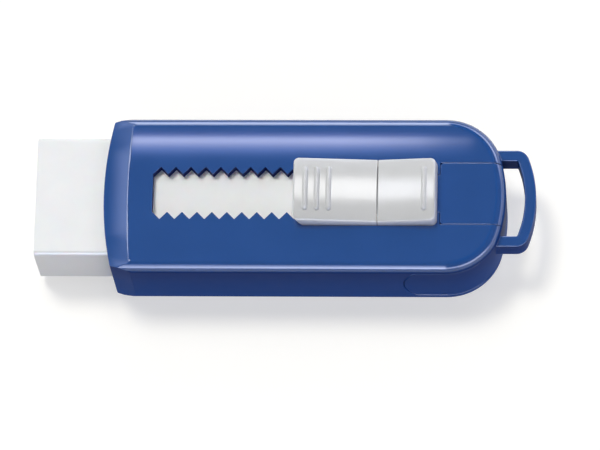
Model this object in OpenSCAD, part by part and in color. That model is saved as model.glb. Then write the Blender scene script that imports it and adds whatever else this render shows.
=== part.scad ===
// Slide eraser: a white block in a flat blue sleeve, fed out by a thumb slide that clicks along a slot.
// It lies on its flat back. +X points to the lanyard loop and +Z out of the face with the slot.
// Inside the modules x runs from the middle of the mouth; place() centres the whole object.

/* [Eraser] */
// Length of the eraser block
eraser_l = 65; // [60:0.5:72]
// Width of the eraser block
eraser_w = 23; // [20:0.5:28]
// Thickness of the eraser block
eraser_t = 13; // [11:0.1:16]
// Radius of the block's long edges
eraser_edge = 0.9; // [0.3:0.1:2]

/* [Sleeve] */
// Wall at the two narrow sides
side_wall = 2; // [1.6:0.1:3]
// Wall at the flat back
back_wall = 2; // [1.6:0.1:3]
// Wall that holds the slot
front_wall = 1.8; // [1.4:0.1:2.5]
// Radius along the outer edges
edge_r = 2; // [1:0.1:2.6]
// Radius of the far corners, seen from the front
corner_r = 10.52; // [8:0.01:12]
// Radius of the far end, seen from the front
end_r = 26.52; // [22:0.01:40]
// Length of the faceted collar at the mouth
collar_l = 4.6; // [3:0.05:8]
// How far the collar draws in at the front and the back
collar_in = 1.05; // [0.5:0.05:1.1]
// How far the collar draws in at the two narrow sides
side_in = 1.35; // [0.5:0.05:1.5]
// How far the collar's rear edge bows towards the mouth
ring_bow = 0.66; // [0.2:0.02:1.5]
// How far the middle of the mouth stands out past its corners
mouth_bow = 1.85; // [0.5:0.05:2.5]
// Depth of the lip that guides the block at the mouth
lip_l = 3.6; // [3:0.1:6]

/* [Slot] */
// Start of the slot, from the middle of the mouth
slot_start = 9.15; // [8:0.05:14]
// Slant from the slot's end edge to its first notch
slot_lead = 1.42; // [1:0.01:2]
// Distance between notches
pitch = 2.76; // [2.4:0.01:3]
// Number of notches on each side
notches = 19; // [17:1:22]
// Width between the tips of the teeth
slot_w = 7.35; // [6.8:0.05:9]
// Depth of each notch
notch_d = 1.42; // [1.2:0.01:1.8]

/* [End plug] */
// Length of the tongue that fills the slot's open end
tongue_l = 12.1; // [10:0.1:16]
// Width of the tongue
tongue_w = 11.9; // [10.9:0.1:14]
// Corner radius of the tongue
tongue_r = 0.65; // [0.2:0.05:1.5]
// Height of the snap arms' lower edge
arm_z = 2.85; // [2.7:0.05:5]
// Height of the snap arms
arm_h = 12.1; // [8:0.1:12.2]
// Length of the snap arms past the tongue's end edge
arm_l = 6.75; // [5:0.05:9]
// Radius of the arms' ends
arm_round = 9.55; // [7:0.05:20]
// Corner radius of the arms' ends
arm_corner = 0.8; // [0.3:0.05:2]
// Thickness of the spigot inside the sleeve
spigot_t = 1.2; // [0.8:0.1:2]
// How far the spigot starts behind the tongue's end edge
spigot_set = 1.4; // [0.5:0.1:3]
// How far the stop under the thumb slide reaches out of the tongue's end edge
stop_l = 1.2; // [0.8:0.1:1.4]
// Seam round the plug
seam = 0.06; // [0.03:0.01:0.15]

/* [Lanyard loop] */
// Width of the loop
loop_w = 18.8; // [14:0.1:22]
// How far the loop stands out past the sleeve
loop_out = 5.5; // [4.5:0.1:9]
// Width of the loop's bars
loop_bar = 2.1; // [1.5:0.1:2.2]
// How far the loop lies below the sleeve's front face
loop_drop = 2.6; // [2.2:0.1:4]
// Thickness of the loop
loop_t = 4.5; // [2.5:0.1:6]
// Radius of the loop's outer side
loop_r = 22.36; // [16:0.01:30]
// Radius of the loop's outer corners
loop_corner = 2.36; // [2.3:0.01:5]

/* [Thumb slide] */
// Length of the front half
front_l = 15.45; // [14:0.05:18]
// Length of the rear half
rear_l = 10.95; // [10:0.05:13]
// Joint line between the halves
half_gap = 0.2; // [0.1:0.05:0.4]
// Width at the foot of the slide
thumb_w = 12.6; // [11:0.1:15]
// Height at the two ends, over the sleeve
thumb_h = 3.6; // [2.6:0.1:4]
// How much lower the slide is at the joint line
thumb_dip = 1.4; // [0.8:0.1:1.6]
// How much the top falls off to its sides
thumb_crown = 0.9; // [0.5:0.1:1.1]
// How much the sides lean in
thumb_lean = 0.45; // [0.1:0.05:0.8]
// How much the rear end leans in and the front end overhangs
end_lean = 0.55; // [0.1:0.05:0.8]
// Corner radius seen from the front
thumb_r = 1; // [0.5:0.1:1.8]
// Width of a grip rib
rib_w = 0.9; // [0.5:0.05:1.2]
// Height of a grip rib
rib_h = 0.35; // [0.2:0.05:0.8]
// Length of a grip rib
rib_l = 8.7; // [7:0.1:9.5]
// Distance between grip ribs
rib_pitch = 2.2; // [1.8:0.05:2.6]
// Number of ribs on the front half
rib_count = 3; // [2:1:4]
// Distance from either end of the slide to its first rib
rib_set = 2.2; // [1.8:0.05:3]
// How much farther in the rear rib stands
rear_set = 0.2; // [0:0.05:1]

/* [Carrier] */
// Thickness of the deck behind the block, under the front wall
deck_t = 1.2; // [0.8:0.05:2]
// Width of the deck
deck_w = 17; // [13:0.5:20]
// How far the deck and the front foot stay inside the ends of the slide
deck_set = 0.5; // [0.3:0.1:1.5]
// Thickness of the wall behind the block
pusher_t = 1.6; // [1.2:0.1:2.5]
// Distance from the block's rear face to the rear of the slide
pusher_set = 9.4; // [8.5:0.1:10.2]
// How far the grips stay behind the mouth's lip with the slide run out
grip_reach = 2; // [1:0.1:6]
// Thickness of the side grips
grip_t = 1.3; // [0.9:0.1:2]
// Height of the side grips
grip_h = 11; // [8:0.1:11.5]
// Thickness of the webs behind the pusher wall
web_t = 1.2; // [0.8:0.1:2]
// Height of the webs
web_h = 5.5; // [3:0.1:8]
// Width of the arm that carries the front half, between the spring's arms
stem_w = 2.6; // [2:0.1:3]

/* [Catch spring] */
// Length of the U-shaped spring
spring_l = 12; // [11:0.1:12.5]
// Width of its two arms
spring_arm = 0.65; // [0.5:0.05:0.8]
// Thickness of the spring
spring_t = 1.5; // [1:0.1:1.6]
// Width of the bar that joins the arms
spring_bar = 1; // [0.8:0.1:1.5]

/* [Clearances] */
// Between the moving pieces and the sleeve's walls
slide_gap = 0.1; // [0.05:0.01:0.2]
// Beside the carrier's grips and the block
side_gap = 0.2; // [0.1:0.05:0.4]
// Between the thumb slide and the tongue at the rear stop
stop_gap = 0.5; // [0.3:0.05:1]
// Round the spring's noses and its arms
nose_gap = 0.12; // [0.05:0.01:0.2]

/* [Hidden] */
$fn = 96;
past = 1;

cavity_w = eraser_w + 2 * grip_t + 2 * side_gap;
cavity_top = back_wall + eraser_t + 2 * slide_gap;
sleeve_w = cavity_w + 2 * side_wall;
sleeve_t = cavity_top + front_wall;
block_z = back_wall + slide_gap;
block_top = block_z + eraser_t;
deck_z = block_top - deck_t;
foot_z = cavity_top + slide_gap / 2;

first_notch = slot_start + slot_lead;
tongue_x = first_notch + (notches - 0.5) * pitch + 0.2 * pitch;
sleeve_l = tongue_x + tongue_l;
end_x = sleeve_l - end_r;
end_angle = asin((sleeve_w / 2 - corner_r) / (end_r - corner_r));
corner_x = end_x + (end_r - corner_r) * cos(end_angle);
corner_y = (end_r - corner_r) * sin(end_angle);
bow_r = sleeve_w * sleeve_w / 8 / mouth_bow + mouth_bow / 2;
ring_r = sleeve_w * sleeve_w / 8 / ring_bow + ring_bow / 2;
ring_side = collar_l + ring_bow;

arm_x = tongue_x - arm_l;
arm_angle = asin((arm_h / 2 - arm_corner) / (arm_round - arm_corner));
spigot_x = tongue_x + spigot_set;
loop_z = sleeve_t - loop_drop - loop_t;
loop_tip = sleeve_l + loop_out;

thumb_z = sleeve_t + slide_gap;
thumb_end = tongue_x - stop_gap;
thumb_start = thumb_end - front_l - rear_l;
joint_x = thumb_start + front_l;
travel = floor((thumb_start - slot_start) / pitch) * pitch;
deck_end = thumb_end - deck_set;
stem_end = tongue_x - stop_l - stop_gap;
pusher_x = thumb_end - pusher_set;
grip_x = lip_l + travel + grip_reach;
grip_z = block_z + (eraser_t - grip_h) / 2;

nose_x = first_notch + round((joint_x - 0.35 * spring_l - first_notch) / pitch) * pitch;
spring_w = slot_w - 2 * nose_gap;
spring_x = nose_x - spring_l / 2;
stem_x = spring_x + spring_l;

centre_x = (loop_tip - (eraser_l - pusher_x)) / 2;

module place() {
    translate([-centre_x, 0, 0]) children();
}

// A block between x0 and x1, centred on the y axis
module bar(x0, x1, w, z0, z1) {
    translate([x0, -w / 2, z0]) cube([x1 - x0, w, z1 - z0]);
}

// A rectangle on the y axis with four equal round corners
module round_plate(x0, x1, w, r) {
    translate([x0 + r, -w / 2]) square([x1 - x0 - 2 * r, w]);
    translate([x0, -w / 2 + r]) square([x1 - x0, w - 2 * r]);
    for (x = [x0 + r, x1 - r], y = [-w / 2 + r, w / 2 - r]) translate([x, y]) circle(r);
}

// The sector of the plan in which the far end is one arc
module end_wedge() {
    reach = 2 * end_r;
    polygon([
        [end_x, 0],
        [end_x + reach * cos(end_angle), -reach * sin(end_angle)],
        [end_x + reach * cos(end_angle), reach * sin(end_angle)]
    ]);
}

// Outline of a plate whose far end is an arc with two round corners, all drawn in by one inset
module end_plan(start, inset) {
    translate([start, inset - sleeve_w / 2]) square([corner_x - start, sleeve_w - 2 * inset]);
    for (side = [-1, 1]) translate([corner_x, side * corner_y]) circle(corner_r - inset);
    intersection() {
        translate([end_x, 0]) circle(end_r - inset, $fn = 192);
        end_wedge();
    }
}

// A disc of the sleeve's thickness with its rim rounded like the sleeve's edges
module rimmed_disc(r) {
    rotate_extrude($fn = 192) {
        square([r - edge_r, sleeve_t]);
        translate([0, edge_r]) square([r, sleeve_t - 2 * edge_r]);
        for (z = [edge_r, sleeve_t - edge_r]) translate([r - edge_r, z]) circle(edge_r);
    }
}

// What the collar leaves of the sleeve: a cone at front and back, and a slanted facet at either side
module collar() {
    half_w = sleeve_w / 2;
    half_t = sleeve_t / 2;
    run = collar_l / collar_in;
    side_run = ring_side / side_in;
    intersection() {
        translate([collar_l + ring_r, 0, half_t]) rotate_extrude($fn = 720) polygon([
            [0, -half_t - past],
            [ring_r - run * past, -half_t - past],
            [ring_r + run * half_t, 0],
            [ring_r - run * past, half_t + past],
            [0, half_t + past]
        ]);
        translate([0, 0, -past]) linear_extrude(sleeve_t + 2 * past) polygon([
            [-past, -half_w + side_in + past / side_run],
            [ring_side + side_run * past, -half_w - past],
            [loop_tip, -half_w - past],
            [loop_tip, half_w + past],
            [ring_side + side_run * past, half_w + past],
            [-past, half_w - side_in - past / side_run]
        ]);
    }
}

// The whole outer form that the sleeve and the plug share
module outer_form() {
    intersection() {
        union() {
            translate([-past, 0, sleeve_t / 2]) rotate([90, 0, 90]) linear_extrude(corner_x + past)
                round_plate(-sleeve_w / 2, sleeve_w / 2, sleeve_t, edge_r);
            for (side = [-1, 1]) translate([corner_x, side * corner_y, 0]) rimmed_disc(corner_r);
            intersection() {
                translate([end_x, 0, 0]) rimmed_disc(end_r);
                translate([0, 0, -past]) linear_extrude(sleeve_t + 2 * past) end_wedge();
            }
        }
        collar();
        translate([bow_r, 0, -past]) cylinder(h = sleeve_t + 2 * past, r = bow_r, $fn = 256);
    }
}

// Side view of a snap arm: a bar whose free end is an arc with two round corners
module arm_plan(gap) {
    centre = arm_x + arm_round;
    corner_c = centre - (arm_round - arm_corner) * cos(arm_angle);
    reach = 2 * arm_round;
    translate([corner_c, -arm_h / 2 - gap]) square([sleeve_l + 2 * past - corner_c, arm_h + 2 * gap]);
    for (side = [-1, 1]) translate([corner_c, side * (arm_h / 2 - arm_corner)]) circle(arm_corner + gap);
    intersection() {
        translate([centre, 0]) circle(arm_round + gap);
        polygon([
            [centre, 0],
            [centre - reach * cos(arm_angle), reach * sin(arm_angle)],
            [centre - reach * cos(arm_angle), -reach * sin(arm_angle)]
        ]);
    }
}

// The snap arms' side view cut through the whole width; gap widens it for the sleeve's recess
module arm_band(gap) {
    translate([0, 0, arm_z + arm_h / 2]) rotate([90, 0, 0])
        linear_extrude(sleeve_w + 2 * past, center = true) arm_plan(gap);
}

// Slot with slanted ends and a row of notches along both sides
module slot_plan() {
    half_w = slot_w / 2;
    teeth = [for (n = [0 : notches - 1], k = [0, 1])
        [first_notch + (n + k / 2) * pitch, half_w + (1 - k) * notch_d]];
    upper = concat([[slot_start, half_w]], teeth, [[tongue_x + past, half_w]]);
    count = len(upper);
    polygon(concat(upper, [for (n = [0 : count - 1]) [upper[count - 1 - n][0], -upper[count - 1 - n][1]]]));
}

module sleeve() {
    color("#2e5292") place() difference() {
        outer_form();
        translate([0, 0, back_wall]) linear_extrude(cavity_top - back_wall) end_plan(lip_l, side_wall);
        bar(-past, lip_l + past, eraser_w + 2 * side_gap, back_wall, cavity_top);
        arm_band(0);
        translate([0, 0, cavity_top - past]) linear_extrude(front_wall + 2 * past) slot_plan();
        bar(tongue_x - seam, sleeve_l + past, tongue_w + 2 * seam, arm_z + arm_h - past, sleeve_t + past);
    }
}

module tongue() {
    intersection() {
        outer_form();
        translate([0, 0, arm_z + arm_h / 2]) linear_extrude(sleeve_t)
            round_plate(tongue_x, sleeve_l + 2 * tongue_r, tongue_w, tongue_r);
    }
}

// Plan of a plate with straight sides and an arc-shaped far side, for the loop and its opening
module loop_plan(w, tip, r, corner) {
    c = tip - r;
    a = asin((w / 2 - corner) / (r - corner));
    cx = c + (r - corner) * cos(a);
    cy = w / 2 - corner;
    translate([corner_x, -w / 2]) square([cx - corner_x, w]);
    for (side = [-1, 1]) translate([cx, side * cy]) circle(corner);
    intersection() {
        translate([c, 0]) circle(r);
        polygon([[c, 0], [c + 2 * r * cos(a), -2 * r * sin(a)], [c + 2 * r * cos(a), 2 * r * sin(a)]]);
    }
}

module lanyard_loop() {
    translate([0, 0, loop_z]) linear_extrude(loop_t) difference() {
        loop_plan(loop_w, loop_tip, loop_r, loop_corner);
        difference() {
            loop_plan(loop_w - 2 * loop_bar, loop_tip - loop_bar, loop_r - loop_bar, loop_corner - loop_bar);
            end_plan(0, 0);
        }
    }
}

module end_plug() {
    color("#2e5292") place() difference() {
        union() {
            intersection() {
                outer_form();
                arm_band(-seam);
            }
            translate([0, 0, back_wall]) linear_extrude(cavity_top - back_wall)
                end_plan(spigot_x, side_wall + seam);
            tongue();
            bar(tongue_x - stop_l, tongue_x + tongue_r + past, slot_w - 2 * seam, cavity_top, sleeve_t);
            lanyard_loop();
        }
        translate([0, 0, -past]) linear_extrude(cavity_top + past) end_plan(0, side_wall + seam + spigot_t);
        translate([0, 0, -past]) linear_extrude(cavity_top + past)
            round_plate(0, spigot_x, cavity_w, side_gap);
    }
}

module eraser() {
    color("#f2f3f5") place() translate([0, 0, block_z + eraser_t / 2]) rotate([90, 0, 90])
        translate([0, 0, pusher_x - eraser_l]) linear_extrude(eraser_l)
            round_plate(-eraser_w / 2, eraser_w / 2, eraser_t, eraser_edge);
}

// The room under a crowned top that slopes from height h0 at x0 to h1 at x1
module crowned(x0, x1, h0, h1) {
    slope = atan((h1 - h0) / (x1 - x0));
    crown_r = thumb_w * thumb_w / 8 / thumb_crown + thumb_crown / 2;
    translate([x0, 0, sleeve_t + h0]) rotate([0, 90 - slope, 0]) translate([crown_r, 0, -past])
        cylinder(h = (x1 - x0) / cos(slope) + 2 * past, r = crown_r, $fn = 192);
}

// One thumb half under a crowned top, over a given plan; the front end overhangs, the rear end leans in
module thumb_half(x0, x1, h0, h1, over, lean) {
    top = thumb_h + past;
    intersection() {
        translate([0, 0, thumb_z]) linear_extrude(top) children();
        translate([x0 - past, 0, thumb_z]) rotate([90, 0, 90]) linear_extrude(x1 - x0 + 2 * past) polygon([
            [-thumb_w / 2, 0],
            [thumb_w / 2, 0],
            [thumb_w / 2 - thumb_lean, top],
            [thumb_lean - thumb_w / 2, top]
        ]);
        translate([0, 0, thumb_z]) rotate([90, 0, 0]) linear_extrude(2 * thumb_w, center = true)
            polygon([[x0 + over, 0], [x1, 0], [x1 - lean, top], [x0, top]]);
        crowned(x0, x1, h0, h1);
    }
}

// A grip rib that stands over the crowned top
module rib(x, x0, x1, h0, h1) {
    intersection() {
        translate([0, 0, thumb_z]) linear_extrude(thumb_h + past)
            round_plate(x - rib_w / 2, x + rib_w / 2, rib_l, rib_w / 3);
        crowned(x0, x1, h0 + rib_h, h1 + rib_h);
    }
}

module front_pad() {
    end = joint_x - half_gap / 2;
    low = thumb_h - thumb_dip;
    color("#f4f5f7") place() {
        thumb_half(thumb_start, end, thumb_h, low, end_lean, 0) difference() {
            round_plate(thumb_start, joint_x + thumb_r, thumb_w, thumb_r);
            translate([end, -thumb_w]) square([2 * thumb_r, 2 * thumb_w]);
        }
        for (n = [0 : rib_count - 1])
            rib(thumb_start + rib_set + n * rib_pitch, thumb_start, end, thumb_h, low);
        bar(thumb_start + end_lean + deck_set, spring_x - nose_gap, slot_w - 4 * nose_gap, foot_z,
            thumb_z + slide_gap);
    }
}

module carrier() {
    start = joint_x + half_gap / 2;
    low = thumb_h - thumb_dip;
    color("#eceef1") place() {
        bar(pusher_x, deck_end, deck_w, deck_z, block_top);
        bar(pusher_x, pusher_x + pusher_t, eraser_w + 2 * grip_t, block_z, block_top);
        for (side = [-1, 1]) {
            translate([grip_x, side * (eraser_w + grip_t) / 2 - grip_t / 2, grip_z])
                cube([pusher_x + pusher_t - grip_x, grip_t, grip_h]);
            translate([0, side * deck_w / 3 + web_t / 2, 0]) rotate([90, 0, 0])
                linear_extrude(web_t) polygon([
                    [pusher_x, deck_z + deck_t / 2],
                    [pusher_x, deck_z - web_h],
                    [pusher_x + pusher_t, deck_z - web_h],
                    [deck_end, deck_z],
                    [deck_end, deck_z + deck_t / 2]
                ]);
        }
        bar(stem_x, stem_end, slot_w - 4 * nose_gap, block_top - deck_t / 2, thumb_z + slide_gap);
        bar(spring_x + spring_bar, stem_x + past, stem_w, foot_z, thumb_z);
        thumb_half(start, thumb_end, low, thumb_h, 0, end_lean) difference() {
            round_plate(joint_x - thumb_r, thumb_end, thumb_w, thumb_r);
            translate([start - 2 * thumb_r, -thumb_w]) square([2 * thumb_r, 2 * thumb_w]);
        }
        rib(thumb_end - rib_set - rear_set, start, thumb_end, low, thumb_h);
    }
}

// A flat U round the carrier's arm, closed at the front, with a nose on each side that rests in a notch
module catch_spring() {
    nose_w = pitch * (1 - nose_gap / notch_d);
    color("#c9ccd2") place() translate([0, 0, thumb_z - spring_t]) {
        linear_extrude(spring_t) difference() {
            translate([spring_x, -spring_w / 2]) square([spring_l, spring_w]);
            translate([spring_x + spring_bar, spring_arm - spring_w / 2])
                square([spring_l, spring_w - 2 * spring_arm]);
        }
        for (side = [0, 1]) mirror([0, side]) linear_extrude(spring_t) polygon([
            [nose_x - nose_w / 2, spring_w / 2 - spring_arm / 2],
            [nose_x - nose_w / 2, spring_w / 2],
            [nose_x, slot_w / 2 + notch_d - nose_gap],
            [nose_x + nose_w / 2, spring_w / 2],
            [nose_x + nose_w / 2, spring_w / 2 - spring_arm / 2]
        ]);
    }
}

sleeve();
end_plug();
eraser();
carrier();
front_pad();
catch_spring();
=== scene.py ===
from math import cos, pi, radians, sin, sqrt

import bmesh
import bpy
from mathutils import Matrix, Vector


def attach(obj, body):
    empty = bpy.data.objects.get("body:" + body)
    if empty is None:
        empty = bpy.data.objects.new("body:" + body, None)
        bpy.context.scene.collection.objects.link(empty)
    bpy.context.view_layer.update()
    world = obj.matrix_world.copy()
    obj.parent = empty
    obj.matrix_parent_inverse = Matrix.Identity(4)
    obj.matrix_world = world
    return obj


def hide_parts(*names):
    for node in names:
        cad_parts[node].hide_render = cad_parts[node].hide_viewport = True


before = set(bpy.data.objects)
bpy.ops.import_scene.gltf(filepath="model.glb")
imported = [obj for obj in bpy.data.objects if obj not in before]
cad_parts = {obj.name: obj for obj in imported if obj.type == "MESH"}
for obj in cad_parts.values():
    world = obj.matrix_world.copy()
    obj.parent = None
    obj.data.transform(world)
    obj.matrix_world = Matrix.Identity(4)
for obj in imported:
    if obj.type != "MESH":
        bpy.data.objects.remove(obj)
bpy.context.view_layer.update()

# Camera
# The picture looks down on the slotted face, tilted so that the near side shows, and turned a little to the
# right. A long lens keeps the edges parallel, as they are in the picture.
mm = 0.001
tilt = radians(19.3)
turn = radians(3.7)
roll = radians(0.15)
aim = Vector((2.35, -2.85, 7.34)) * mm
distance = 928.3 * mm
up = Vector((0, cos(tilt), sin(tilt)))
right = Vector((cos(turn), sin(turn) * sin(tilt), -sin(turn) * cos(tilt)))
toward = right.cross(up)
lens = bpy.data.cameras.new("camera")
lens.lens = 300
lens.sensor_width = 36
lens.clip_start = 0.05
lens.clip_end = 10
camera = bpy.data.objects.new("camera", lens)
bpy.context.scene.collection.objects.link(camera)
turned_right = right * cos(roll) + up * sin(roll)
turned_up = up * cos(roll) - right * sin(roll)
axes = Matrix((turned_right, turned_up, toward)).transposed().to_4x4()
camera.matrix_world = Matrix.Translation(aim + toward * distance) @ axes
bpy.context.scene.camera = camera


# Floor and light
# White paper in a white studio. A broad key lamp gives the shadow, and a strip overhead the band on the face. Two
# soft boxes and the bright parts of the studio draw the lines on the rounded edges and the glow on the slide.
class Shade:
    """A socket that Python arithmetic works on."""

    def __init__(self, tree, socket):
        self.tree = tree
        self.socket = socket

    def node(self, kind, settings=None, output=0, **values):
        """A new node. Its sockets are given by name, or by number as a0, a1 and so on."""
        made = self.tree.nodes.new(kind)
        for key, value in (settings or {}).items():
            setattr(made, key, value)
        for key, value in values.items():
            place = made.inputs[int(key[1:])] if key[1:].isdigit() else made.inputs[key.replace("_", " ")]
            if isinstance(value, Shade):
                self.tree.links.new(value.socket, place)
            else:
                place.default_value = value
        return Shade(self.tree, made.outputs[output])

    def maths(self, operation, a, b=0.0):
        return self.node("ShaderNodeMath", {"operation": operation}, a0=a, a1=b)

    def __add__(self, other):
        return self.maths("ADD", self, other)

    __radd__ = __add__

    def __mul__(self, other):
        return self.maths("MULTIPLY", self, other)

    __rmul__ = __mul__

    def __sub__(self, other):
        return self.maths("SUBTRACT", self, other)

    def __rsub__(self, other):
        return self.maths("SUBTRACT", other, self)

    def __abs__(self):
        return self.maths("ABSOLUTE", self)

    def ramp(self, low, high, smooth=False):
        """0 up to low, and 1 from high."""
        shape = {"interpolation_type": "SMOOTHSTEP"} if smooth else None
        return self.node("ShaderNodeMapRange", shape, a0=self, a1=low, a2=high)

    def between(self, start, full, fall, end):
        """1 from full to fall, and 0 before start and past end."""
        return self.ramp(start, full, True) * (1 - self.ramp(fall, end, True))

    def near(self, centre, full, end):
        """1 within full of the centre, and 0 past end."""
        return 1 - abs(self - centre).ramp(full, end, True)

    def part(self, index):
        return self.node("ShaderNodeSeparateXYZ", None, index, a0=self)

    def mix(self, first, second):
        return self.node("ShaderNodeMix", {"data_type": "RGBA"}, 2, a0=self, a6=first, a7=second)

    def tinted(self, colour):
        return self.node("ShaderNodeVectorMath", {"operation": "SCALE"}, a0=colour, Scale=self)

    def with_light(self, other):
        return self.node("ShaderNodeVectorMath", {"operation": "ADD"}, a0=self, a1=other)

    def times_light(self, other):
        return self.node("ShaderNodeVectorMath", {"operation": "MULTIPLY"}, a0=self, a1=other)

    def stops(self, table):
        """A colour ramp with a stop for each place and colour in the table."""
        made = self.node("ShaderNodeValToRGB", Fac=self)
        elements = made.socket.node.color_ramp.elements
        while len(elements) < len(table):
            elements.new(0.5)
        for element, (position, _) in zip(elements, table):
            element.position = position
        for element, (_, colour) in zip(elements, table):
            element.color = (*colour, 1)
        return made


def hang(name, lamp, matrix, **seen_by):
    """Puts a lamp in the studio. What doesn't see it is given as camera, diffuse or glossy=False."""
    holder = bpy.data.objects.new(name, lamp)
    holder.matrix_world = matrix
    for rays, seen in seen_by.items():
        setattr(holder, "visible_" + rays, seen)
    bpy.context.scene.collection.objects.link(holder)


def turned_to(direction):
    return direction.to_track_quat("Z", "Y").to_matrix().to_4x4()


def panel(name, width, height, level):
    """A rectangular lamp, as bright as level where it is coloured white, and the two places on it, from 0 to 1."""
    lamp = bpy.data.lights.new(name, "AREA")
    lamp.shape = "RECTANGLE"
    lamp.size = width
    lamp.size_y = height
    lamp.energy = level * pi * width * height
    lamp.use_nodes = True
    spot = Shade(lamp.node_tree, lamp.node_tree.nodes.new("ShaderNodeNewGeometry").outputs["Parametric"])
    return lamp, spot.part(0), spot.part(1)


def colour_panel(lamp, colour):
    lamp.node_tree.links.new(colour.socket, lamp.node_tree.nodes["Emission"].inputs["Color"])


key = bpy.data.lights.new("key_lamp", "SUN")
key.energy = 1.36
key.angle = radians(15)
key.color = (1.0, 0.95, 0.78)
hang("key_lamp", key, turned_to(Vector((-0.21, 0.29, 0.93))), glossy=False)

# The strip hangs where the flat face mirrors it to the camera between 7 and 12 mm from its middle. It is brightest
# near one edge, and fades towards the loop.
face_z = 17 * mm
strip_z = 300 * mm
camera_x = 62.2 * mm
camera_y = -308.95 * mm
camera_over_face = 864.3 * mm
pull = (strip_z - face_z) / camera_over_face
strip_x0, strip_x1 = (x + pull * (x - camera_x) for x in (-29.0 * mm, 35.5 * mm))
strip_y0, strip_y1 = (y + pull * (y - camera_y) for y in (7.0 * mm, 12.0 * mm))
strip_level = 10.3
strip, along, across = panel("overhead_strip", strip_x1 - strip_x0, strip_y1 - strip_y0, strip_level)
profile = across.stops((
    (0.0, (0, 0, 0)),
    (0.288, (0.09, 0.13, 0.30)),
    (0.406, (0.19, 0.225, 0.385)),
    (0.564, (0.47, 0.47, 0.675)),
    (0.70, (0.72, 0.76, 1.0)),
    (0.755, (0.55, 0.59, 0.87)),
    (0.80, (0.20, 0.22, 0.43)),
    (0.86, (0.04, 0.03, 0.12)),
    (1.0, (0, 0, 0)),
))
fade = along.stops([
    (share, (level, level, level))
    for share, level in ((0.0, 1), (0.62, 1), (0.72, 0.88), (0.83, 0.68), (0.91, 0.34), (0.97, 0.2), (1.0, 0))
])
colour_panel(strip, profile.times_light(fade))
strip_middle = Matrix.Translation(((strip_x0 + strip_x1) / 2, (strip_y0 + strip_y1) / 2, strip_z))
hang("overhead_strip", strip, strip_middle, camera=False)

# Two soft boxes low on the right carry the lines on the long edges round the two corners of that end. They are set
# to show in gloss only, so that the sides stay as dark as they are.
box_distance = 0.75
box_level = 5.5
for box_name, direction, box_width, box_height in (
    ("corner_box_near", (0.40, -0.74, 0.36), 1.45, 0.34),
    ("corner_box_far", (0.33, 0.84, 0.38), 1.35, 0.30),
):
    box, along, across = panel(box_name, box_width, box_height, box_level)
    soft = (1 - abs(2 * along - 1)).ramp(0, 0.5, True) * (1 - abs(2 * across - 1)).ramp(0, 0.8, True)
    colour_panel(box, soft.tinted((0.70, 0.76, 1.0)))
    ray = Vector(direction).normalized()
    hang(box_name, box, Matrix.Translation(ray * box_distance) @ turned_to(ray), camera=False, diffuse=False)

# The studio's bright parts, by direction: one behind and one in front for the long edges, a low ring for the two
# ends, and small ones overhead for the glow on the two pads and on the collar.
world = bpy.data.worlds.new("studio")
world.use_nodes = True
sky_tree = world.node_tree
sky = Shade(sky_tree, sky_tree.nodes.new("ShaderNodeTexCoord").outputs["Generated"])
sky_x, sky_y, sky_z = sky.part(0), sky.part(1), sky.part(2)
middle = sky_x.near(-0.065, 0.035, 0.09)
behind = sky_z.between(0.14, 0.58, 0.60, 0.88) * sky_y.ramp(0.1, 0.3) * middle
in_front = sky_z.between(0.02, 0.50, 0.52, 0.88) * (0 - sky_y).ramp(0.1, 0.3) * middle
low_ring = sky_z.between(-0.02, 0.10, 0.20, 0.48)
to_right = low_ring * sky_x.ramp(0.15, 0.5, True)
to_left = low_ring * (0 - sky_x).ramp(0.25, 0.6, True)
overhead = sky_y.between(0.10, 0.22, 0.44, 0.56) * sky_z.ramp(0.3, 0.5)
over_front_pad = overhead * sky_x.near(0.115, 0.04, 0.09)
over_rear_pad = overhead * sky_x.near(-0.305, 0.04, 0.09)
over_collar = overhead * sky_x.near(-0.38, 0.05, 0.17)
light = (6.6 * behind).tinted((0.78, 0.84, 1.0))
for part, colour in (
    (6.6 * in_front, (0.65, 0.72, 1.0)),
    (1.9 * to_right, (0.84, 0.84, 1.0)),
    (1.3 * to_left, (0.92, 0.94, 1.0)),
    (7.0 * over_front_pad + 5.6 * over_rear_pad, (1, 1, 1)),
    (2.4 * over_collar, (0.60, 0.68, 1.0)),
):
    light = light.with_light(part.tinted(colour))
light = light.with_light((0.15, 0.15, 0.15))
sky_tree.links.new(light.socket, sky_tree.nodes["Background"].inputs["Color"])
bpy.context.scene.world = world
bpy.context.scene.view_settings.view_transform = "Standard"

# The paper gives about half of its white by itself, to what looks at it and not to what it lights.
half_floor = 3.0
floor_mesh = bpy.data.meshes.new("floor")
floor_mesh.from_pydata(
    [(x * half_floor, y * half_floor, 0) for x, y in ((-1, -1), (1, -1), (1, 1), (-1, 1))], [], [(0, 1, 2, 3)]
)
floor = bpy.data.objects.new("floor", floor_mesh)
bpy.context.scene.collection.objects.link(floor)
paper = bpy.data.materials.new("white_paper")
paper.use_nodes = True
paper_tree = paper.node_tree
paper_shader = paper_tree.nodes["Principled BSDF"]
paper_shader.inputs["Roughness"].default_value = 0.95
paper_shader.inputs["Specular IOR Level"].default_value = 0.0
paper_shader.inputs["Emission Strength"].default_value = 1.0
rays = paper_tree.nodes.new("ShaderNodeLightPath")
seen = Shade(paper_tree, rays.outputs["Is Camera Ray"])
for kind in ("Is Glossy Ray", "Is Transmission Ray"):
    seen = seen.maths("MAXIMUM", seen, Shade(paper_tree, rays.outputs[kind]))
for paper_input, unseen_colour, seen_colour in (
    ("Base Color", (0.40, 0.40, 0.40, 1), (0.55, 0.55, 0.55, 1)),
    ("Emission Color", (0, 0, 0, 1), (0.527, 0.522, 0.507, 1)),
):
    paper_tree.links.new(seen.mix(unseen_colour, seen_colour).socket, paper_shader.inputs[paper_input])
floor_mesh.materials.append(paper)


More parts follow.
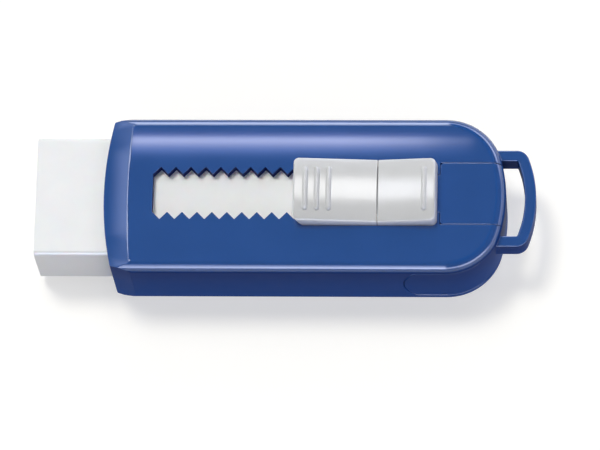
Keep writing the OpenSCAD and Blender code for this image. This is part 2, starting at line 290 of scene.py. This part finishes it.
# Sleeve
# The blue holder is moulded in one piece of hard gloss plastic, with soft long edges, a faceted collar at the
# mouth, and a slot whose two sides are cut into a row of notches. Its narrow sides are left satin.
class Finish:
    """A new material: its shader's fixed values, and the place where its patterns start."""

    def __init__(self, name, **fixed):
        self.material = bpy.data.materials.new(name)
        self.material.use_nodes = True
        self.tree = self.material.node_tree
        self.shader = self.tree.nodes["Principled BSDF"]
        for key, value in fixed.items():
            self.shader.inputs[key.replace("_", " ")].default_value = value
        coordinates = self.tree.nodes.new("ShaderNodeTexCoord")
        self.place = Shade(self.tree, coordinates.outputs["Object"])
        self.facing = Shade(self.tree, coordinates.outputs["Normal"])

    def noise(self, size, detail=2.0):
        scaled = self.place.node("ShaderNodeMapping", Vector=self.place, Scale=[1 / size] * 3)
        return self.place.node("ShaderNodeTexNoise", Vector=scaled, Scale=1.0, Detail=detail)

    def set(self, **varying):
        for key, value in varying.items():
            self.tree.links.new(value.socket, self.shader.inputs[key.replace("_", " ")])

    def bump(self, height, depth, strength):
        self.set(Normal=self.place.node("ShaderNodeBump", Height=height, Distance=depth, Strength=strength))


def even_light(mesh, crown=None):
    """Corner normals for moulded shapes: flat faces stay flat, and what joins them turns smoothly between them."""
    slender = 0.9 * mm
    level_turn, least_turn, fillet_turn, corner_turn = (radians(degrees) for degrees in (0.3, 0.4, 24, 50))
    work = bmesh.new()
    work.from_mesh(mesh)
    work.faces.ensure_lookup_table()
    area = [face.calc_area() for face in work.faces]
    longest = [max(0.001 * mm, *(line.calc_length() for line in face.edges)) for face in work.faces]
    width = [a / side for a, side in zip(area, longest)]
    flat = []
    for face in work.faces:
        curved = width[face.index] < slender
        for line in face.edges:
            for other in line.link_faces:
                if other is not face and least_turn < face.normal.angle(other.normal, 0) < fillet_turn:
                    curved = curved or width[face.index] < 2.5 * width[other.index]
        flat.append(not curved)
    spread = [face for face in work.faces if flat[face.index]]
    while spread:
        face = spread.pop()
        for line in face.edges:
            for other in line.link_faces:
                if not flat[other.index] and face.normal.angle(other.normal, 1) < level_turn:
                    flat[other.index] = True
                    spread.append(other)
    normals = []
    for polygon in mesh.polygons:
        face = work.faces[polygon.index]
        for corner in face.loops:
            near = [f for f in corner.vert.link_faces if face.normal.angle(f.normal, 0) < corner_turn]
            level = [f for f in near if flat[f.index]]
            if flat[face.index]:
                turned = face.normal.copy()
            elif level:
                turned = max(level, key=lambda f: area[f.index]).normal.copy()
            else:
                turned = sum((f.normal * area[f.index] for f in near), face.normal * 1e-12).normalized()
            normals.append(crown(corner.vert.co, turned) if crown else turned)
    work.free()
    mesh.normals_split_custom_set(normals)


def sharp(line, fine):
    """The radius for a line, if it is one that wants rounding."""
    return fine if line.calc_face_angle(0) > radians(28) else 0


def piece_from(work, name, finish=None):
    mesh = bpy.data.meshes.new(name)
    work.to_mesh(mesh)
    work.free()
    if finish:
        mesh.materials.append(finish.material)
    piece = bpy.data.objects.new(name, mesh)
    bpy.context.scene.collection.objects.link(piece)
    return piece


def plain_mesh(piece):
    """What the piece's modifiers make of it."""
    return bpy.data.meshes.new_from_object(piece.evaluated_get(bpy.context.evaluated_depsgraph_get()))


solid_weld = 0.002 * mm
fine_weld = 0.0005 * mm


def moulded_copy(name, node, finish, edge, radius_of, keep=None, cut=None, crown=None):
    """A solid's own shape with its edges rounded: radius_of(line) gives each one's radius, edge at the most. What
    stands over the height keep is left out, and a line is drawn round the piece at the place cut."""
    work = bmesh.new()
    work.from_mesh(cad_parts[node].data)
    bmesh.ops.remove_doubles(work, verts=work.verts, dist=solid_weld)

    def split(point, normal, away):
        everything = work.verts[:] + work.edges[:] + work.faces[:]
        bmesh.ops.bisect_plane(work, geom=everything, plane_co=point, plane_no=normal, clear_outer=away)

    if keep:
        split((0, 0, keep), (0, 0, 1), True)
        for lid in bmesh.ops.holes_fill(work, edges=[line for line in work.edges if line.is_boundary])["faces"]:
            lid.normal_update()
            if lid.normal.z < 0:
                lid.normal_flip()
    # Lines between faces that look down stay, so that no ceiling becomes one large face.
    open_lines = [line for line in work.edges if any(face.normal.z > -0.9 for face in line.link_faces)]
    bmesh.ops.dissolve_limit(work, angle_limit=radians(0.3), verts=[], edges=open_lines)
    if cut:
        split((cut, 0, 0), (1, 0, 0), False)
    weight = work.edges.layers.float.new("bevel_weight_edge")
    for line in work.edges:
        if len(line.link_faces) == 2:
            line[weight] = radius_of(line) / edge
    for face in work.faces:
        face.smooth = True
    piece = piece_from(work, name, finish)
    bevel = piece.modifiers.new("edges", "BEVEL")
    bevel.width = edge
    bevel.segments = 3
    bevel.limit_method = "WEIGHT"
    bevel.use_clamp_overlap = False
    bevel.miter_outer = "MITER_ARC"
    piece.modifiers.new("faces", "TRIANGULATE").min_vertices = 5
    piece.data = plain_mesh(piece)
    piece.modifiers.clear()
    work = bmesh.new()
    work.from_mesh(piece.data)
    bmesh.ops.remove_doubles(work, verts=work.verts, dist=fine_weld)
    work.to_mesh(piece.data)
    work.free()
    even_light(piece.data, crown)
    return piece


mouth_x = -33.532 * mm
ring_start = 4.6 * mm
side_wall_y = 12.8 * mm
window_x = 19 * mm
window_z0, window_z1 = 2 * mm, 16 * mm
outer_edge = 0.10 * mm
collar_edge = 0.16 * mm
window_edge = 0.22 * mm


def sleeve_edge(line):
    """The radius of a line: the collar's rear edge and the mouth, the windows of the side arms, and the rest."""
    skin, side_skin_y, collar_reach, short = 1.2 * mm, 12.3 * mm, 1.2 * mm, 0.9 * mm
    a, b = line.verts[0].co, line.verts[1].co
    centre = (a + b) / 2
    outside = abs(centre.y) > side_skin_y or centre.z > face_z - skin or centre.z < skin
    lengthwise = abs((b - a).normalized().x) > 0.9
    if max(a.x, b.x) < mouth_x + ring_start + collar_reach and outside and (b - a).length > short:
        if line.calc_face_angle(0) > radians(40 if lengthwise else 7):
            return collar_edge
    if centre.x > window_x and abs(centre.y) > side_wall_y and window_z0 < centre.z < window_z1:
        return sharp(line, window_edge)
    return sharp(line, outer_edge) if outside else 0


def crowned_collar(place, normal):
    """The collar's facets are a little crowned from the mouth to the ring."""
    if place.x > mouth_x + ring_start + 0.1 * mm or normal.x > -0.05 or normal.x < -0.6:
        return normal
    share = min(1, max(0, (place.x - mouth_x) / ring_start))
    return (normal + Vector(((share - 0.5) * 0.09, 0, 0))).normalized()


# The slot's walls are painted near black, painted shade in the recess, and the narrow sides are painted darker
# towards the top, painted shade, and have no gloss. A thin strip where the face starts to turn down round the far
# end has none either.
blue = Finish("blue_gloss_plastic", Specular_IOR_Level=0.02, Coat_Roughness=0.035, Coat_IOR=1.7, IOR=1.5)
blue_level = abs(blue.facing.part(2))
# Painted shade: the slot's walls are coloured near black.
slot_wall_painted_shade = (
    (1 - abs(blue.place.part(1)).ramp(6.1 * mm, 6.3 * mm))
    * (1 - blue_level.ramp(0.1, 0.4))
    * blue.place.part(2).ramp(14.6 * mm, 14.9 * mm)
    * (1 - blue.place.part(0).ramp(26 * mm, 27 * mm))
)
# Painted shade: the narrow sides are coloured darker, most of all towards the top.
side_painted_shade = 1 - blue_level.ramp(0.15, 0.45)
to_loop = blue.facing.part(0)
end_turn = to_loop.ramp(0.01, 0.04) * (1 - to_loop.ramp(0.17, 0.24)) * blue_level.ramp(0.90, 0.95)
open_blue = blue.noise(9 * mm).ramp(0.3, 0.7).mix((0.0145, 0.0725, 0.272, 1), (0.0170, 0.0785, 0.290, 1))
side_shaded_blue = blue.place.part(2).ramp(2 * mm, 15 * mm).mix((0.0105, 0.070, 0.295, 1), (0.0022, 0.029, 0.165, 1))
blue.set(
    Base_Color=slot_wall_painted_shade.mix(side_painted_shade.mix(open_blue, side_shaded_blue), (0.004, 0.011, 0.085, 1)),
    Roughness=0.38 + 0.08 * blue.noise(3 * mm, 4.0),
    Coat_Weight=blue_level.ramp(0.28, 0.52, True) * (1 - end_turn),
)
blue.bump(blue.noise(0.9 * mm, 1.0), 0.003 * mm, 0.5)
collar_back = mouth_x + ring_start + mm
sleeve_shell = moulded_copy(
    "sleeve_shell", "sleeve", blue, window_edge, sleeve_edge, cut=collar_back, crown=crowned_collar
)
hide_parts("sleeve")
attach(sleeve_shell, "housing")

# End plug
# A second blue moulding pushed into the far end until its two side arms snap into the walls. Its tongue fills
# the open end of the slot, and a bar loop for a lanyard stands out behind it.
loop_x = 37.5 * mm
loop_z0, loop_z1 = 9.5 * mm, 14.6 * mm
loop_edge = 0.25 * mm
tongue_edge = 0.14 * mm


def plug_edge(line):
    """The loop's lines are rounder than the rest, and so are those of the arms, where they show in the walls."""
    if all(end.co.x > loop_x and loop_z0 < end.co.z < loop_z1 for end in line.verts):
        return sharp(line, loop_edge)
    return sharp(line, window_edge if all(abs(end.co.y) > side_wall_y for end in line.verts) else tongue_edge)


plug_shell = moulded_copy("plug_shell", "end_plug", blue, loop_edge, plug_edge)
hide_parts("end_plug")
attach(plug_shell, "housing")

# Eraser
# A plain white block of soft vinyl, moulded with round long edges and cut to length, so its ends are sharper. Its
# skin is matt and slightly powdery, and only its near long edge has a little gloss.
long_edge = 0.6 * mm
cut_edge = 0.16 * mm


def block_edge(line):
    """The block's long lines are rounder than those of its cut ends."""
    lengthwise = abs((line.verts[1].co - line.verts[0].co).normalized().x) > 0.99
    return sharp(line, long_edge if lengthwise else cut_edge)


white = Finish(
    "white_vinyl", IOR=1.45, Subsurface_Weight=0.12, Subsurface_Scale=0.6 * mm, Coat_Roughness=0.22, Coat_IOR=2.1
)
white_level = abs(white.facing.part(2))
on_long_edge = white_level.ramp(0.3, 0.6) * (1 - white_level.ramp(0.98, 0.998))
grain = white.noise(0.35 * mm, 3.0)
powder = white.noise(6 * mm, 3.0).ramp(0.3, 0.75).mix((0.845, 0.862, 0.88, 1), (0.875, 0.89, 0.905, 1))
# Painted light: the sides and ends are coloured lighter than the top.
white.set(
    Base_Color=white_level.ramp(0.2, 0.5).mix((0.95, 0.94, 0.90, 1), powder),
    Roughness=0.45 + 0.2 * grain,
    Coat_Weight=on_long_edge * (0 - white.facing.part(1)).ramp(0.02, 0.1),
)
white.bump(grain, 0.010 * mm, 0.4)
block = moulded_copy("eraser_block", "eraser", white, long_edge, block_edge)
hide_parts("eraser")
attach(block, "slide")


# Carrier
# The white moulding that pushes the block. Only its rear thumb half shows outside: a crowned, dished pad with
# soft rims and one grip rib, which leans in at the rear.
pad_w = 12.6 * mm
pad_crown = 0.9 * mm
crown_radius = pad_w * pad_w / 8 / pad_crown + pad_crown / 2
pad_foot = face_z + 0.06 * mm
pad_end_h = 3.42 * mm
pad_joint_h = 2.2 * mm
pad_rim = 0.38 * mm
side_lean = 0.45 / 4.6
end_corner = 1.0 * mm
joint_corner = 0.12 * mm
foot_edge = 0.12 * mm
joint_x = 50.73 * mm + mouth_x
half_seam = 0.04 * mm


def thumb_pad(name, ends, heights, corners, rims, over, lean, finish):
    """A pad built as rings of points that rise up its sides, turn over its rim and close in a crowned top. The
    pairs go from the front to the rear, and rims is the share of the rim's radius by which each end draws in. The
    top stands out past the foot by over at the front, and leans in by lean at the rear."""
    columns, turns, arc_steps, side_steps = 24, 6, 8, 30
    quarter = [k / arc_steps * pi / 2 for k in range(arc_steps + 1)]

    def outline(inset, rise, low0, low1):
        """Row by row, the place along the pad and the half width, drawn in by inset at the height rise."""
        start, end = ends[0] + low0 + inset * rims[0], ends[1] - low1 - inset * rims[1]
        half = pad_w / 2 - side_lean * rise - inset
        round0, round1 = (max(corner - inset, 0.02 * mm) for corner in corners)
        reach = end - round1 - start - round0
        side = [(start + round0 * (1 - cos(a)), half - round0 * (1 - sin(a))) for a in quarter]
        side += [(start + round0 + reach * t / side_steps, half) for t in range(1, side_steps)]
        side += [(end - round1 * (1 - cos(a)), half - round1 * (1 - sin(a))) for a in reversed(quarter)]
        return side

    def point(side, drop, i, j):
        """A point of row i and column j: on the foot, or on the crowned top less the drop."""
        x, half = side[i]
        y = half * (2 * j / columns - 1)
        if drop is None:
            return x, y, pad_foot
        height = heights[0] + (heights[1] - heights[0]) * (x - ends[0]) / (ends[1] - ends[0])
        return x, y, face_z + height - (crown_radius - sqrt(crown_radius * crown_radius - y * y)) - drop

    last = 2 * arc_steps + side_steps
    border = [(0, j) for j in range(columns + 1)] + [(i, columns) for i in range(1, last + 1)]
    border += [(last, j) for j in range(columns - 1, -1, -1)] + [(i, 0) for i in range(last - 1, 0, -1)]
    work = bmesh.new()
    side = outline(0, 0, over, 0)
    loops = [[work.verts.new(point(side, None, i, j)) for i, j in border]]
    for t in range(turns + 1):
        a = t / turns * pi / 2
        side = outline(pad_rim * (1 - cos(a)), sum(heights) / 2 - pad_crown, 0, lean)
        loops.append([work.verts.new(point(side, pad_rim * (1 - sin(a)), i, j)) for i, j in border])
    grid = dict(zip(border, loops[-1]))
    for i in range(last + 1):
        for j in range(columns + 1):
            if (i, j) not in grid:
                grid[i, j] = work.verts.new(point(side, 0, i, j))
    for i in range(last):
        for j in range(columns):
            work.faces.new((grid[i, j], grid[i + 1, j], grid[i + 1, j + 1], grid[i, j + 1]))
    for lower, upper in zip(loops, loops[1:]):
        for k in range(len(lower)):
            n = (k + 1) % len(lower)
            work.faces.new((lower[k], upper[k], upper[n], lower[n]))
    work.faces.new(loops[0])
    bmesh.ops.remove_doubles(work, verts=work.verts, dist=fine_weld)
    bmesh.ops.recalc_face_normals(work, faces=work.faces)
    for face in work.faces:
        face.smooth = len(face.verts) < 5
    return piece_from(work, name, finish)


def grip_ribs(name, first, count, slope, top, finish):
    """Grip ribs that follow the crown, set out along the pad by Geometry Nodes."""
    width, length, height, step = 1.25 * mm, 8.9 * mm, 0.54 * mm, 2.15 * mm
    root, end_round, cap = 0.25 * mm, 0.25 * mm, width / 2
    across_steps, along_steps = 14, 22
    work = bmesh.new()
    rows = []
    for j in range(along_steps + 1):
        y = -length / 2 + length * j / along_steps
        inside = min(y + length / 2, length / 2 - y)
        narrow = 1.0 if inside > cap else 0.2 + 0.8 * sqrt(max(0.0, 1 - ((cap - inside) / cap) ** 2))
        rise = sqrt(min(1.0, inside / end_round))
        drop = crown_radius - sqrt(crown_radius * crown_radius - y * y)
        row = []
        for i in range(across_steps + 1):
            u = i / across_steps * 2 - 1
            x = u * width / 2 * narrow
            swell = (1 - abs(u) ** 2.4) * rise
            row.append(work.verts.new((x, y, slope * x - drop - root + (height + root) * swell)))
        rows.append(row)
    for a, b in zip(rows, rows[1:]):
        for i in range(across_steps):
            work.faces.new((a[i], a[i + 1], b[i + 1], b[i]))
    bmesh.ops.holes_fill(work, edges=[line for line in work.edges if line.is_boundary])
    bmesh.ops.recalc_face_normals(work, faces=work.faces)
    for face in work.faces:
        face.smooth = True
    one = piece_from(work, name + "_one")

    tree = bpy.data.node_groups.new(name + "_row", "GeometryNodeTree")
    tree.interface.new_socket("Geometry", in_out="INPUT", socket_type="NodeSocketGeometry")
    tree.interface.new_socket("Geometry", in_out="OUTPUT", socket_type="NodeSocketGeometry")
    sizes = {
        "Count": ("NodeSocketInt", count),
        "Start": ("NodeSocketVector", (first, 0, top)),
        "Step": ("NodeSocketVector", (step, 0, slope * step)),
    }
    named = {
        key: tree.interface.new_socket(key, in_out="INPUT", socket_type=kind) for key, (kind, _) in sizes.items()
    }
    given = tree.nodes.new("NodeGroupInput")
    line = tree.nodes.new("GeometryNodeMeshLine")
    copies = tree.nodes.new("GeometryNodeInstanceOnPoints")
    real = tree.nodes.new("GeometryNodeRealizeInstances")
    skin = tree.nodes.new("GeometryNodeSetMaterial")
    skin.inputs["Material"].default_value = finish.material
    out = tree.nodes.new("NodeGroupOutput")
    for start, output, end, socket in (
        (given, "Count", line, "Count"),
        (given, "Start", line, "Start Location"),
        (given, "Step", line, "Offset"),
        (line, "Mesh", copies, "Points"),
        (given, "Geometry", copies, "Instance"),
        (copies, "Instances", real, "Geometry"),
        (real, "Geometry", skin, "Geometry"),
        (skin, "Geometry", out, "Geometry"),
    ):
        tree.links.new(start.outputs[output], end.inputs[socket])
    row_of_ribs = one.modifiers.new("row", "NODES")
    row_of_ribs.node_group = tree
    for key, (_, value) in sizes.items():
        row_of_ribs[named[key].identifier] = value
    ribs = bpy.data.objects.new(name, plain_mesh(one))
    bpy.data.objects.remove(one)
    bpy.context.scene.collection.objects.link(ribs)
    return ribs


# The top is painted darker than the sides and rims: painted shade on the top, and painted light on the sides and
# rims. The steep flanks of the ribs count as top: all that lies between the
# ribs' ends does, up to just behind the last rib.
pale = Finish("white_hard_plastic", IOR=1.5, Coat_Roughness=0.18, Coat_IOR=1.7)
pale_level = abs(pale.facing.part(2))
between_rib_ends = 1 - abs(pale.place.part(1)).ramp(4.5 * mm, 4.7 * mm)
before_rear_end = 1 - pale.place.part(0).ramp(26.5 * mm, 27 * mm)
by_ribs = between_rib_ends * before_rear_end
# Painted shade and light: the top is coloured grey, and the sides and rims a lighter white.
top_painted_darker = 1 - (1 - pale_level.ramp(0.5, 0.9)) * (1 - by_ribs)
top_painted_grey = pale.noise(5 * mm).ramp(0.3, 0.7).mix((0.595, 0.605, 0.612, 1), (0.62, 0.63, 0.637, 1))
pale.set(
    Base_Color=top_painted_darker.mix((0.90, 0.895, 0.87, 1), top_painted_grey),
    Roughness=0.28 + 0.08 * pale.noise(1.2 * mm, 3.0),
    Coat_Weight=pale_level.ramp(0.3, 0.8, True),
)
pale.bump(pale.noise(0.6 * mm), 0.003 * mm, 0.4)
carrier_body = moulded_copy(
    "carrier_body", "carrier", pale, foot_edge, lambda line: sharp(line, foot_edge), keep=face_z
)
rear_start = joint_x + half_seam
rear_end = 61.682 * mm + mouth_x
rear_slope = (pad_end_h - pad_joint_h) / (rear_end - rear_start)
rear_set = 2.4 * mm
rear_pad = thumb_pad(
    "rear_thumb_pad",
    ends=(rear_start, rear_end),
    heights=(pad_joint_h, pad_end_h),
    corners=(joint_corner, end_corner),
    rims=(0.35, 1.0),
    over=0,
    lean=0.33 * mm,
    finish=pale,
)
rear_rib = grip_ribs(
    "rear_grip_rib", rear_end - rear_set, 1, rear_slope, face_z + pad_end_h - rear_slope * rear_set, pale
)
for piece in (carrier_body, rear_pad, rear_rib):
    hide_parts("carrier")
    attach(piece, "slide")

# Front thumb pad
# The front half of the thumb slide, fixed on the carrier's arm, with three grip ribs. Its front end stands
# over the slot, and its foot runs between the teeth.
front_foot = moulded_copy(
    "front_pad_foot", "front_pad", pale, foot_edge, lambda line: sharp(line, foot_edge), keep=face_z
)
front_start = 35.282 * mm + mouth_x
front_end = joint_x - half_seam
front_slope = (pad_joint_h - pad_end_h) / (front_end - front_start)
front_set = 2.2 * mm
front_pad = thumb_pad(
    "front_thumb_pad",
    ends=(front_start, front_end),
    heights=(pad_end_h, pad_joint_h),
    corners=(end_corner, joint_corner),
    rims=(1.0, 0.35),
    over=0.9 * mm,
    lean=0,
    finish=pale,
)
front_ribs = grip_ribs(
    "front_grip_ribs", front_start + front_set, 3, front_slope, face_z + pad_end_h + front_slope * front_set, pale
)
for piece in (front_foot, front_pad, front_ribs):
    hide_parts("front_pad")
    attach(piece, "slide")

# Catch spring
# A small flat U of grey plastic in the slot, under the thumb slide. Its two noses rest in a pair of notches, so
# that the slide clicks from one pair to the next.
grey = Finish("grey_spring_plastic", Base_Color=(0.5, 0.52, 0.56, 1))
grey.set(Roughness=0.4 + 0.15 * grey.noise(0.8 * mm, 3.0))
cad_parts["catch_spring"].data.materials.clear()
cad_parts["catch_spring"].data.materials.append(grey.material)
